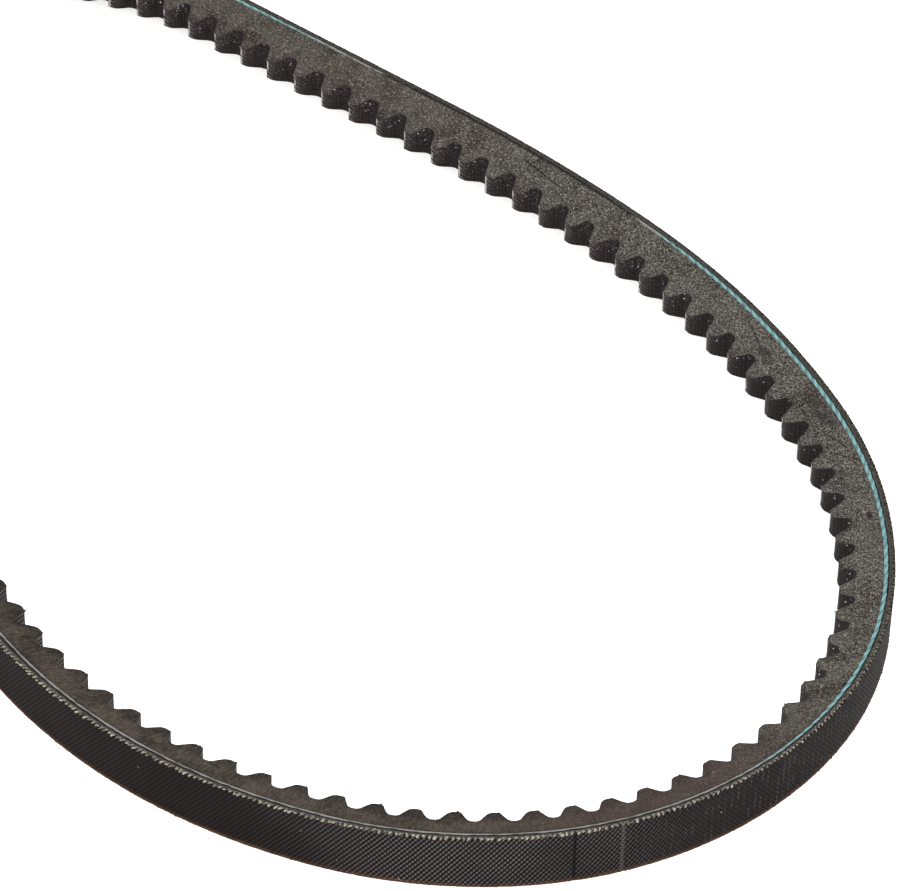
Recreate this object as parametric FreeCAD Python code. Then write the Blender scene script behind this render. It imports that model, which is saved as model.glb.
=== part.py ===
import FreeCAD, Part
import math
import os

# Raw-edge cogged V-belt, standing on the lower edges of its back face.
# Millimetres. Z is across the belt's width, X and Y are the plane of the loop.
# The loop is a chain of straight runs and tangent bends, walked anticlockwise
# along the belt's back. "Depth" is measured from the back towards the inside
# of the loop, "along" is measured on the back from the start of the near run.

# Belt section
outside_length = 635.0
top_width = 9.5
thickness = 8.2
groove_angle = 40.0

# Depths of the layers, from the back inwards
ply_thickness = 0.4
cushion_thickness = 0.25
cord_depth = 1.6
gum_half_thickness = 0.55

# Tensile cord
cord_diameter = 0.85
cord_turns = 8
flank_cover = 0.06

# Cogs, the first one placed from the start of the near run along the cord line
cog_count = 103
first_cog_at = 0.35
cog_tip_half_width = 0.76
cog_flank_angle = 28.0
cog_tip_radius = 1.0
notch_depth = 2.55
notch_corner_radius = 0.95
facing_thickness = 0.35

# Lapped ends of the outer backing ply: groove left by the lap's edge
seam_along = 213.4
seam_width = 0.3
seam_groove_depth = 0.15

# Bends, as (radius at the back, turn in degrees), anticlockwise
right_bends = [(94.5, 42.0), (71.0, 23.0), (62.5, 48.0), (58.5, 31.5), (83.5, 28.5), (153.5, 19.0), (288.0, 9.0)]
left_entry = (75.0, 35.0)
left_main_turn = 110.0
left_exit_radius = 75.0

# Worked out from the driving dimensions
flank_slope = math.tan(math.radians(groove_angle / 2.0))
right_turn = sum(turn for radius, turn in right_bends)
near_heading = math.radians(180.0 - right_turn)
left_exit_turn = 360.0 - right_turn - left_entry[1] - left_main_turn
inner_ply_depth = ply_thickness
cushion_depth = 2.0 * ply_thickness
upper_gum_depth = cushion_depth + cushion_thickness
compression_depth = cord_depth + gum_half_thickness
flank_reach = cord_diameter / 2.0 / math.cos(math.radians(groove_angle / 2.0)) + flank_cover
first_turn_height = cord_depth * flank_slope + flank_reach
cord_pitch = (top_width - 2.0 * first_turn_height) / (cord_turns - 1)
notch_root_depth = thickness - notch_depth
cog_pitch = (outside_length - 2.0 * math.pi * cord_depth) / cog_count
cog_slope = math.tan(math.radians(cog_flank_angle))
fillet_factor = math.tan(math.radians((90.0 - cog_flank_angle) / 2.0))
section_margin = 0.8
up = FreeCAD.Vector(0, 0, 1)


def bend_shift(radius, heading, turn):
    """Plan displacement along one bend that starts at the given heading (radians)."""
    end = heading + turn
    return (radius * (math.sin(end) - math.sin(heading)), radius * (math.cos(heading) - math.cos(end)))


def solve_three(rows, right_side):
    """Cramer's rule for three equations in three unknowns."""
    def determinant(m):
        return (m[0][0] * (m[1][1] * m[2][2] - m[1][2] * m[2][1])
                - m[0][1] * (m[1][0] * m[2][2] - m[1][2] * m[2][0])
                + m[0][2] * (m[1][0] * m[2][1] - m[1][1] * m[2][0]))
    whole = determinant(rows)
    answers = []
    for column in range(3):
        swapped = [row[:column] + [value] + row[column + 1:] for row, value in zip(rows, right_side)]
        answers.append(determinant(swapped) / whole)
    return answers


def close_loop():
    """Near run, far run and main left radius that close the loop at its full length."""
    known_x = 0.0
    known_y = 0.0
    known_length = 0.0
    heading = near_heading
    for radius, turn in right_bends + [left_entry]:
        shift = bend_shift(radius, heading, math.radians(turn))
        known_x += shift[0]
        known_y += shift[1]
        known_length += radius * math.radians(turn)
        heading += math.radians(turn)
    unit = bend_shift(1.0, heading, math.radians(left_main_turn))
    heading += math.radians(left_main_turn)
    shift = bend_shift(left_exit_radius, heading, math.radians(left_exit_turn))
    known_x += shift[0]
    known_y += shift[1]
    known_length += left_exit_radius * math.radians(left_exit_turn)
    rows = [[math.cos(near_heading), -1.0, unit[0]],
            [math.sin(near_heading), 0.0, unit[1]],
            [1.0, 1.0, math.radians(left_main_turn)]]
    return solve_three(rows, [-known_x, -known_y, outside_length - known_length])


near_run, far_run, left_main_radius = close_loop()


class Segment:
    """One straight run (radius 0) or one bend of the loop."""

    def __init__(self, x, y, heading, along, length, radius):
        self.x = x
        self.y = y
        self.heading = heading
        self.along = along
        self.length = length
        self.radius = radius
        self.centre = (x - radius * math.sin(heading), y + radius * math.cos(heading))

    def place(self, along, depth, height=0.0):
        """Point at a distance along the back, a depth below it and a height."""
        step = along - self.along
        if self.radius == 0:
            x = self.x + step * math.cos(self.heading) - depth * math.sin(self.heading)
            y = self.y + step * math.sin(self.heading) + depth * math.cos(self.heading)
        else:
            angle = self.heading + step / self.radius
            x = self.centre[0] + (self.radius - depth) * math.sin(angle)
            y = self.centre[1] - (self.radius - depth) * math.cos(angle)
        return FreeCAD.Vector(x, y, height)

    def heading_at(self, along):
        if self.radius == 0:
            return self.heading
        return self.heading + (along - self.along) / self.radius

    def carry(self, section):
        """Solid made by carrying a section face from this segment's start to its end."""
        if self.radius == 0:
            run = FreeCAD.Vector(math.cos(self.heading), math.sin(self.heading), 0) * self.length
            return section.extrude(run)
        axis = FreeCAD.Vector(self.centre[0], self.centre[1], 0)
        return section.revolve(axis, up, math.degrees(self.length / self.radius))


def make_segments(start_x, start_y):
    left_bends = [left_entry, (left_main_radius, left_main_turn), (left_exit_radius, left_exit_turn)]
    plan = [(near_run, 0.0)]
    plan += [(radius * math.radians(turn), radius) for radius, turn in right_bends]
    plan += [(far_run, 0.0)]
    plan += [(radius * math.radians(turn), radius) for radius, turn in left_bends]
    segments = []
    x = start_x
    y = start_y
    heading = near_heading
    along = 0.0
    for length, radius in plan:
        segment = Segment(x, y, heading, along, length, radius)
        segments.append(segment)
        end = segment.place(along + length, 0.0)
        x = end.x
        y = end.y
        heading = segment.heading_at(along + length)
        along += length
    return segments


def plan_wire(segments, depth):
    """Closed outline of the loop at one depth, at height 0."""
    edges = []
    for segment in segments:
        start = segment.place(segment.along, depth)
        end = segment.place(segment.along + segment.length, depth)
        if segment.radius == 0:
            edges.append(Part.LineSegment(start, end).toShape())
        else:
            middle = segment.place(segment.along + segment.length / 2.0, depth)
            edges.append(Part.Arc(start, middle, end).toShape())
    return Part.Wire(edges)


def centred_segments():
    """The loop moved so that the middle of its outline is over the origin."""
    box = plan_wire(make_segments(0.0, 0.0), 0.0).BoundBox
    return make_segments(-box.Center.x, -box.Center.y)


loop = centred_segments()
near_segment = loop[0]


def section_at(segment, corners):
    """Face through (depth, height) corners in the plane across the segment's start."""
    points = [segment.place(segment.along, depth, height) for depth, height in corners]
    return Part.Face(Part.makePolygon(points + [points[0]]))


def layer_corners(top_depth, bottom_depth):
    """Trapezium between two depths, narrowing with the belt's flanks."""
    return [(top_depth, top_depth * flank_slope),
            (bottom_depth, bottom_depth * flank_slope),
            (bottom_depth, top_width - bottom_depth * flank_slope),
            (top_depth, top_width - top_depth * flank_slope)]


def joined(solids):
    whole = solids[0].multiFuse(solids[1:])
    return whole.Solids[0] if len(whole.Solids) == 1 else whole


def ring(top_depth, bottom_depth):
    """Endless layer of the belt between two depths."""
    corners = layer_corners(top_depth, bottom_depth)
    return joined([segment.carry(section_at(segment, corners)) for segment in loop])


def turn_heights():
    return [first_turn_height + cord_pitch * turn for turn in range(cord_turns)]


def cord_disc(segment, height):
    """Round section of the cord at a segment's start."""
    circle = Part.makeCircle(cord_diameter / 2.0, FreeCAD.Vector(), FreeCAD.Vector(1, 0, 0))
    disc = Part.Face(Part.Wire(circle))
    disc.rotate(FreeCAD.Vector(), up, math.degrees(segment.heading))
    disc.translate(segment.place(segment.along, cord_depth, height))
    return disc


def cord_ramps():
    """Slanting stretches of the cord in the near run, each from one turn to the next."""
    run = near_segment.place(near_run, cord_depth) - near_segment.place(0.0, cord_depth)
    rise = run + up * cord_pitch
    return [cord_disc(near_segment, height).extrude(rise) for height in turn_heights()[:-1]]


def tensile_cord():
    """One continuous cord, wound side by side between the flanks."""
    pieces = cord_ramps()
    for height in turn_heights():
        pieces += [segment.carry(cord_disc(segment, height)) for segment in loop[1:]]
    return joined(pieces)


def gum(top_depth, bottom_depth):
    """Half of the adhesion layer, with a half-round groove for every turn of cord."""
    corners = layer_corners(top_depth, bottom_depth)
    pieces = [near_segment.carry(section_at(near_segment, corners)).cut(cord_ramps())]
    for segment in loop[1:]:
        discs = [cord_disc(segment, height) for height in turn_heights()]
        grooved = section_at(segment, corners).cut(discs)
        pieces += [segment.carry(face) for face in grooved.Faces]
    return joined(pieces)


def segment_on_cord_line(distance):
    """Segment and place along the back for a distance measured on the cord line."""
    passed = 0.0
    for segment in loop:
        turn = 0.0 if segment.radius == 0 else segment.length / segment.radius
        length = segment.length - turn * cord_depth
        if distance <= passed + length or segment is loop[-1]:
            return segment, segment.along + (distance - passed) * segment.length / length
        passed += length


def cog_corner_points(skin):
    """One side of a cog as (half width, depth) points: tip arc, flank, notch corner arc."""
    lean = math.radians(cog_flank_angle)
    tip_depth = thickness - skin
    root_depth = notch_root_depth - skin
    tip_half = cog_tip_half_width + skin * cog_slope - skin / math.cos(lean)
    base_half = tip_half + (tip_depth - root_depth) * cog_slope

    def bisected(half, depth, radius, sign):
        set_back = radius * fillet_factor
        on_flat = (half - sign * set_back, depth)
        on_flank = (half + sign * set_back * math.sin(lean), depth - sign * set_back * math.cos(lean))
        centre = (on_flat[0], depth - sign * radius)
        middle_angle = math.radians((90.0 + cog_flank_angle) / 2.0)
        middle = (centre[0] + sign * radius * math.cos(middle_angle),
                  centre[1] + sign * radius * math.sin(middle_angle))
        return on_flat, middle, on_flank

    tip = bisected(tip_half, tip_depth, cog_tip_radius - skin, 1.0)
    root = bisected(base_half, root_depth, notch_corner_radius + skin, -1.0)
    return list(tip) + [root[2], root[1], root[0]]


def cog_outline(skin):
    """Closed toothed outline: the exposed cog faces, or the same face one skin deeper."""
    side = cog_corner_points(skin)
    edges = []
    first_point = None
    last_point = None
    for number in range(cog_count):
        segment, along = segment_on_cord_line(first_cog_at + number * cog_pitch)
        heading = segment.heading_at(along)
        base = segment.place(along, 0.0)
        forward = FreeCAD.Vector(math.cos(heading), math.sin(heading), 0)
        inward = FreeCAD.Vector(-math.sin(heading), math.cos(heading), 0)
        points = [base - forward * half + inward * depth for half, depth in reversed(side)]
        points += [base + forward * half + inward * depth for half, depth in side]
        if last_point is None:
            first_point = points[0]
        else:
            edges.append(Part.LineSegment(last_point, points[0]).toShape())
        edges.append(Part.Arc(points[0], points[1], points[2]).toShape())
        edges.append(Part.LineSegment(points[2], points[3]).toShape())
        edges.append(Part.Arc(points[3], points[4], points[5]).toShape())
        edges.append(Part.LineSegment(points[5], points[6]).toShape())
        edges.append(Part.Arc(points[6], points[7], points[8]).toShape())
        edges.append(Part.LineSegment(points[8], points[9]).toShape())
        edges.append(Part.Arc(points[9], points[10], points[11]).toShape())
        last_point = points[11]
    edges.append(Part.LineSegment(last_point, first_point).toShape())
    return Part.Wire(edges)


def between(outer_wire, inner_wire):
    """Upright block between two plan outlines, taller than the belt is wide."""
    face = Part.Face(outer_wire).cut(Part.Face(inner_wire)).Faces[0]
    face.translate(FreeCAD.Vector(0, 0, -section_margin))
    return face.extrude(FreeCAD.Vector(0, 0, top_width + 2.0 * section_margin))


def outer_ply():
    """Outer bias ply, with the groove at the edge of its lapped end."""
    ply = ring(0.0, ply_thickness)
    for segment in loop:
        if segment.along <= seam_along < segment.along + segment.length:
            corners = [(-section_margin, -section_margin), (seam_groove_depth, -section_margin),
                       (seam_groove_depth, top_width + section_margin), (-section_margin, top_width + section_margin)]
            points = [segment.place(seam_along, depth, height) for depth, height in corners]
            heading = segment.heading_at(seam_along)
            across = Part.Face(Part.makePolygon(points + [points[0]]))
            groove = across.extrude(FreeCAD.Vector(math.cos(heading), math.sin(heading), 0) * seam_width)
            return joined(ply.cut(groove).Solids)


flanks_below_cord = ring(compression_depth, thickness + section_margin)
rubber_outline = cog_outline(facing_thickness)
facing_outline = cog_outline(0.0)
compression_outline = plan_wire(loop, compression_depth)

nodes = {
    "backing_ply_outer": outer_ply(),
    "backing_ply_inner": ring(inner_ply_depth, cushion_depth),
    "overcord_cushion": ring(cushion_depth, upper_gum_depth),
    "adhesion_gum_upper": gum(upper_gum_depth, cord_depth),
    "tensile_cord": tensile_cord(),
    "adhesion_gum_lower": gum(cord_depth, compression_depth),
    "compression_rubber": between(compression_outline, rubber_outline).common(flanks_below_cord),
    "cog_facing_fabric": between(rubber_outline, facing_outline).common(flanks_below_cord),
}

os.makedirs("parts", exist_ok=True)
for name, shape in nodes.items():
    shape.exportStep("parts/" + name + ".step")
    print(name, "solids", len(shape.Solids), "volume", round(shape.Volume, 2), "valid", shape.isValid())
print("near run", round(near_run, 3), "far run", round(far_run, 3), "left radius", round(left_main_radius, 3))
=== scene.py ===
import bpy
import numpy as np
from math import cos, sin, tan, pi, radians
from mathutils import Matrix, Vector


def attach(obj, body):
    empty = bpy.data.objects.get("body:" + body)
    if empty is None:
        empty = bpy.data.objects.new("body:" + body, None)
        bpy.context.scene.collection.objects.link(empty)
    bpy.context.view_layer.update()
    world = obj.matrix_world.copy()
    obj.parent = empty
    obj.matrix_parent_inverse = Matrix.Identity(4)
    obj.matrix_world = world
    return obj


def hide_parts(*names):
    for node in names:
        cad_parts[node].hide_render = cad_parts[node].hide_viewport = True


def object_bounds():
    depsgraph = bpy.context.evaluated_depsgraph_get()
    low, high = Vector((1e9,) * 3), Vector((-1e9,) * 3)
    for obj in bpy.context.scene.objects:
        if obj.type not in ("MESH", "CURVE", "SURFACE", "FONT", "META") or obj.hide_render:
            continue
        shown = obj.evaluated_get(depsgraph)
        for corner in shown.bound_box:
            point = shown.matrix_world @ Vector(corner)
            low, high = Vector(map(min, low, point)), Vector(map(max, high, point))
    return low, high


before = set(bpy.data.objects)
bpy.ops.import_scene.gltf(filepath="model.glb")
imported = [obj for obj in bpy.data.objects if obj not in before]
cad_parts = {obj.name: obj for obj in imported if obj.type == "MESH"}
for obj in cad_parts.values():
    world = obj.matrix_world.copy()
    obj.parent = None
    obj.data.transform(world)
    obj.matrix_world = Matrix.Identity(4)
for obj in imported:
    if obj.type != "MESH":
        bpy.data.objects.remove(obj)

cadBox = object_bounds()
lowCorner = np.array(cadBox[0])
highCorner = np.array(cadBox[1])
mm = 0.001

# the belt as a whole: millimetres and degrees, walked anticlockwise on the back
belt = {
    "length": 635.0, "width": 9.5, "thickness": 8.2, "grooveAngle": 40.0, "cordDepth": 1.6,
    "rightBends": [(94.5, 42.0), (71.0, 23.0), (62.5, 48.0), (58.5, 31.5), (83.5, 28.5),
                   (153.5, 19.0), (288.0, 9.0)],      # radius and turn of each bend
    "leftBends": [(75.0, 35.0), (None, 110.0), (75.0, None)],      # None is worked out from the rest
}
flankSlope = tan(radians(belt["grooveAngle"] / 2))


# a bend of radius r that turns from h to h+t moves by r(sin(h+t)-sin h, cos h-cos(h+t))
def bendShift(radius, heading, turn):
    later = heading + turn
    return np.array([radius * (sin(later) - sin(heading)), radius * (cos(heading) - cos(later))])


# near run, far run and main left radius: three linear equations, the loop closes in x and y
# and its lengths add up to the belt's length
def closeLoop():
    bends = [(r, radians(t)) for r, t in belt["rightBends"]]
    start = pi - sum(t for r, t in bends)
    entry, main, leave = belt["leftBends"]
    lastTurn = 2 * pi - sum(t for r, t in bends) - radians(entry[1]) - radians(main[1])
    shift, length, heading = np.zeros(2), 0.0, start
    for radius, turn in bends + [(entry[0], radians(entry[1]))]:
        shift = shift + bendShift(radius, heading, turn)
        length, heading = length + radius * turn, heading + turn
    unit = bendShift(1.0, heading, radians(main[1]))
    heading += radians(main[1])
    shift = shift + bendShift(leave[0], heading, lastTurn)
    length += leave[0] * lastTurn
    matrix = [[cos(start), -1.0, unit[0]], [sin(start), 0.0, unit[1]], [1.0, 1.0, radians(main[1])]]
    near, far, mainRadius = np.linalg.solve(matrix, [-shift[0], -shift[1], belt["length"] - length])
    left = [(entry[0], radians(entry[1])), (mainRadius, radians(main[1])), (leave[0], lastTurn)]
    curved = [[(r * t, r, t) for r, t in side] for side in (bends, left)]
    runs = [(near, 0.0, 0.0)] + curved[0] + [(far, 0.0, 0.0)] + curved[1]
    return start, runs


# start distance, place, heading and radius of every run, one row each
def runTable():
    heading, runs = closeLoop()
    rows, along, place = [], 0.0, np.zeros(2)
    for length, radius, turn in runs:
        rows.append((along, place[0], place[1], heading, radius))
        step = bendShift(radius, heading, turn) if radius else length * np.array([cos(heading), sin(heading)])
        place, heading, along = place + step, heading + turn, along + length
    return np.array(rows)


# point at distance s on the back and depth d below it: on a straight, start + s*ahead + d*inward;
# on a bend, centre + (r-d)*(sin h, -cos h) with h the heading there
def onLoop(table, along, depth):
    along = np.asarray(along, float)
    row = table[np.searchsorted(table[:, 0], along % belt["length"], side="right") - 1]
    step, heading, radius = along % belt["length"] - row[..., 0], row[..., 3], row[..., 4]
    bent = radius > 0
    safe = np.where(bent, radius, 1.0)
    there = heading + np.where(bent, step / safe, 0.0)
    centreX, centreY = row[..., 1] - radius * np.sin(heading), row[..., 2] + radius * np.cos(heading)
    straightX = row[..., 1] + step * np.cos(there) - depth * np.sin(there)
    straightY = row[..., 2] + step * np.sin(there) + depth * np.cos(there)
    x = np.where(bent, centreX + (radius - depth) * np.sin(there), straightX)
    y = np.where(bent, centreY - (radius - depth) * np.cos(there), straightY)
    return x, y, there


# the same table moved so that the outline's middle is the middle of the CAD box
def centredTable():
    table = runTable()
    x, y, _ = onLoop(table, np.linspace(0, belt["length"], 6000, endpoint=False), 0.0)
    middle = (lowCorner + highCorner) / 2 / mm
    table[:, 1] += middle[0] - (x.max() + x.min()) / 2
    table[:, 2] += middle[1] - (y.max() + y.min()) / 2
    return table


loopTable = centredTable()
floorHeight = lowCorner[2] / mm


# height of the upper flank at a depth: width - depth * slope
def upperFlank(depth):
    return belt["width"] - depth * flankSlope


# height of the lower flank at a depth: depth * slope
def lowerFlank(depth):
    return depth * flankSlope


# sum of sines of whole-number wave counts round the belt, so that it closes on itself
def softWaves(along, counts, seed):
    phases = np.random.default_rng(seed).uniform(0, 2 * pi, len(counts))
    waves = (np.sin(2 * pi * n * along / belt["length"] + p) for n, p in zip(counts, phases))
    return sum(waves) / len(counts)


# grid of points (rows round the loop, columns round the section) to an object; both ways closed.
# beltPlace holds distance, depth and height of each point in millimetres and goes on the corners,
# so that the last row's faces end at the full length and not at zero
def gridPiece(name, points, beltPlace, sharpAngle=35.0, cogSide=None):
    rows, columns = points.shape[:2]
    index = np.arange(rows * columns).reshape(rows, columns)
    ahead, aside = np.roll(index, -1, 0), np.roll(index, -1, 1)
    both = np.roll(ahead, -1, 1)
    quads = np.stack([index, ahead, both, aside], -1).reshape(-1, 4)
    flat = points.reshape(-1, 3)
    cross = np.cross(flat[quads[:, 2]] - flat[quads[:, 0]], flat[quads[:, 3]] - flat[quads[:, 1]])
    if np.einsum("ij,ij->", flat[quads].mean(1), cross) < 0:
        quads = quads[:, ::-1]
    mesh = bpy.data.meshes.new(name)
    mesh.vertices.add(len(flat))
    mesh.vertices.foreach_set("co", (flat * mm).astype(np.float32).ravel())
    mesh.loops.add(quads.size)
    mesh.loops.foreach_set("vertex_index", quads.ravel().astype(np.int32))
    mesh.polygons.add(len(quads))
    mesh.polygons.foreach_set("loop_start", np.arange(0, quads.size, 4, dtype=np.int32))
    mesh.update(calc_edges=True)
    corner = beltPlace.reshape(-1, 3)[quads].copy()
    wraps = (quads // columns == rows - 1).any(1)[:, None] & (quads // columns == 0)
    corner[..., 0] += np.where(wraps, belt["length"], 0.0)
    attribute = mesh.attributes.new("belt", "FLOAT_VECTOR", "CORNER")
    attribute.data.foreach_set("vector", corner.astype(np.float32).ravel())
    if cogSide is not None:
        side = mesh.attributes.new("cogSide", "FLOAT", "CORNER")
        side.data.foreach_set("value", cogSide.ravel()[quads].astype(np.float32).ravel())
    mesh.polygons.foreach_set("use_smooth", np.ones(len(quads), bool))
    mesh.set_sharp_from_angle(angle=radians(sharpAngle))
    mesh.validate()
    piece = bpy.data.objects.new(name, mesh)
    bpy.context.scene.collection.objects.link(piece)
    return piece


# many small copies of one closed shape: local points times size, turned by each copy's three axes
def scatteredPiece(name, shape, faces, centres, axes, sizes, beltPlace):
    count, size = len(centres), len(shape)
    points = centres[:, None] + np.einsum("kj,nj,nja->nka", shape, sizes, axes)
    loops = (faces[None] + np.arange(count)[:, None, None] * size).reshape(-1, faces.shape[1])
    mesh = bpy.data.meshes.new(name)
    corners = [tuple(dict.fromkeys(f)) for f in loops.tolist()]      # a triangle repeats its last corner
    mesh.from_pydata((points.reshape(-1, 3) * mm).tolist(), [], corners)
    attribute = mesh.attributes.new("belt", "FLOAT_VECTOR", "POINT")
    attribute.data.foreach_set("vector", np.repeat(beltPlace, size, 0).astype(np.float32).ravel())
    mesh.polygons.foreach_set("use_smooth", np.ones(len(mesh.polygons), bool))
    mesh.validate()
    piece = bpy.data.objects.new(name, mesh)
    bpy.context.scene.collection.objects.link(piece)
    return piece


# a ball of longitude and latitude rings: (cos u cos v, sin u cos v, sin v), squared off by a power
def nubShape(around=6, rings=3, power=0.8):
    v = np.linspace(-pi / 2, pi / 2, rings + 2)[1:-1]
    u = np.arange(around) * 2 * pi / around
    ring = np.stack([np.cos(u)[None] * np.cos(v)[:, None], np.sin(u)[None] * np.cos(v)[:, None],
                     np.sin(v)[:, None] + 0 * u[None]], -1).reshape(-1, 3)
    points = np.vstack([ring, [[0, 0, -1]], [[0, 0, 1]]])
    points = np.sign(points) * np.abs(points) ** power
    south, north = len(ring), len(ring) + 1
    faces = []
    for k in range(around):
        n = (k + 1) % around
        faces.append((south, n, k, k))
        faces.append((north, (rings - 1) * around + k, (rings - 1) * around + n, (rings - 1) * around + n))
        for j in range(rings - 1):
            faces.append((j * around + k, j * around + n, (j + 1) * around + n, (j + 1) * around + k))
    return points, np.array(faces)


# one socket of a node tree, with arithmetic that adds Math nodes
class Signal:
    def __init__(self, shader, socket):
        self.shader, self.socket = shader, socket

    def math(self, operation, *values):
        return self.shader.node("ShaderNodeMath", {"operation": operation}, dict(enumerate(values)))

    def __add__(self, other):
        return self.math("ADD", self, other)

    def __radd__(self, other):
        return self.math("ADD", other, self)

    def __sub__(self, other):
        return self.math("SUBTRACT", self, other)

    def __rsub__(self, other):
        return self.math("SUBTRACT", other, self)

    def __mul__(self, other):
        return self.math("MULTIPLY", self, other)

    def __rmul__(self, other):
        return self.math("MULTIPLY", other, self)

    def __truediv__(self, other):
        return self.math("DIVIDE", self, other)

    def __pow__(self, other):
        return self.math("POWER", self, other)

    def __abs__(self):
        return self.math("ABSOLUTE", self)

    def sine(self):
        return self.math("SINE", self)

    def cosine(self):
        return self.math("COSINE", self)

    def atMost(self, other):
        return self.math("MINIMUM", self, other)

    # 0 below low, 1 above high, an S-curve between
    def ease(self, low, high):
        mapped = {0: self, 1: low, 2: high, 3: 0.0, 4: 1.0}
        return self.shader.node("ShaderNodeMapRange", {"interpolation_type": "SMOOTHSTEP"}, mapped)


# one material; attributes and patterns come out as signals
class Shader:
    def __init__(self, name):
        self.material = bpy.data.materials.new(name)
        self.material.use_nodes = True
        self.tree = self.material.node_tree
        self.tree.nodes.clear()

    # any node: its settings first, then values or links for its sockets, by name or number
    def node(self, kind, settings=None, sockets=None, output=0):
        made = self.tree.nodes.new(kind)
        for key, value in (settings or {}).items():
            setattr(made, key, value)
        for key, value in (sockets or {}).items():
            if isinstance(value, Signal):
                self.tree.links.new(value.socket, made.inputs[key])
            else:
                made.inputs[key].default_value = value
        return Signal(self, made.outputs[output] if made.outputs else None)

    def beltPlace(self):
        place = self.node("ShaderNodeAttribute", {"attribute_name": "belt"}, output=1)
        return [self.node("ShaderNodeSeparateXYZ", None, {0: place}, k) for k in range(3)]

    def objectPlace(self):
        return self.node("ShaderNodeTexCoord", output=3)

    def vector(self, x, y, z=0.0):
        return self.node("ShaderNodeCombineXYZ", None, {0: x, 1: y, 2: z})

    def noise(self, place, scale, detail=3.0, rough=0.55):
        sockets = {"Vector": place, "Scale": scale, "Detail": detail, "Roughness": rough}
        return self.node("ShaderNodeTexNoise", None, sockets)

    def cells(self, place, scale, output=0):
        return self.node("ShaderNodeTexVoronoi", {"feature": "F1"}, {"Vector": place, "Scale": scale}, output)

    # dots in the middle of some cells: one minus the distance's ease, times the ease of the cell's red
    def cellDots(self, place, scale, size, chosen):
        red = self.node("ShaderNodeSeparateColor", None, {0: self.cells(place, scale, 1)})
        return (1 - self.cells(place, scale).ease(*size)) * red.ease(*chosen)

    def mix(self, factor, first, second):
        first = first if isinstance(first, Signal) else (*first, 1.0)
        second = second if isinstance(second, Signal) else (*second, 1.0)
        return self.node("ShaderNodeMix", {"data_type": "RGBA"}, {0: factor, 6: first, 7: second}, 2)

    def finish(self, colour, roughness, height=None, lift=0.1, **plain):
        sockets = {"Base Color": colour, "Roughness": roughness}
        sockets.update({key.replace("_", " "): value for key, value in plain.items()})
        if height is not None:
            relief = {"Height": height, "Strength": 1.0, "Distance": lift * mm}
            sockets["Normal"] = self.node("ShaderNodeBump", None, relief)
        surface = self.node("ShaderNodeBsdfPrincipled", None, sockets)
        self.node("ShaderNodeOutputMaterial", None, {0: surface})
        return self.material


dullShine = 0.06      # how much every rubber and fabric face reflects

# ground flank rubber: cut fibre ends as pale grains on dark rubber, drawn-out grinding lines,
# cloudy tone, and a few spots and scratches at listed places
flankFinish = {
    "brown": (0.023, 0.017, 0.013), "brownLit": (0.080, 0.063, 0.050), "dark": (0.012, 0.010, 0.009),
    "grey": (0.112, 0.103, 0.090), "fibre": (0.400, 0.370, 0.320), "red": (0.062, 0.040, 0.037),
    "greyFrom": 226.0, "greyTo": 282.0, "brownFrom": 395.0, "brownTo": 450.0, "grainPerMetre": 3600.0,
    # place, depth, length, width and strength of each spot
    "spots": [(305.2, 2.9, 1.3, 0.5, 0.9), (330.0, 2.9, 7.0, 1.5, 0.45),
              (347.0, 4.2, 3.0, 1.3, 0.4), (158.0, 5.2, 1.6, 0.5, 0.6)],
    # place, depth, slope and half length of each scratch
    "scratches": [(319.0, 2.9, 0.75, 3.2), (323.5, 3.4, 0.35, 3.0),
                  (405.0, 3.0, -0.10, 6.0), (352.0, 3.2, -0.25, 3.5)],
}


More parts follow.
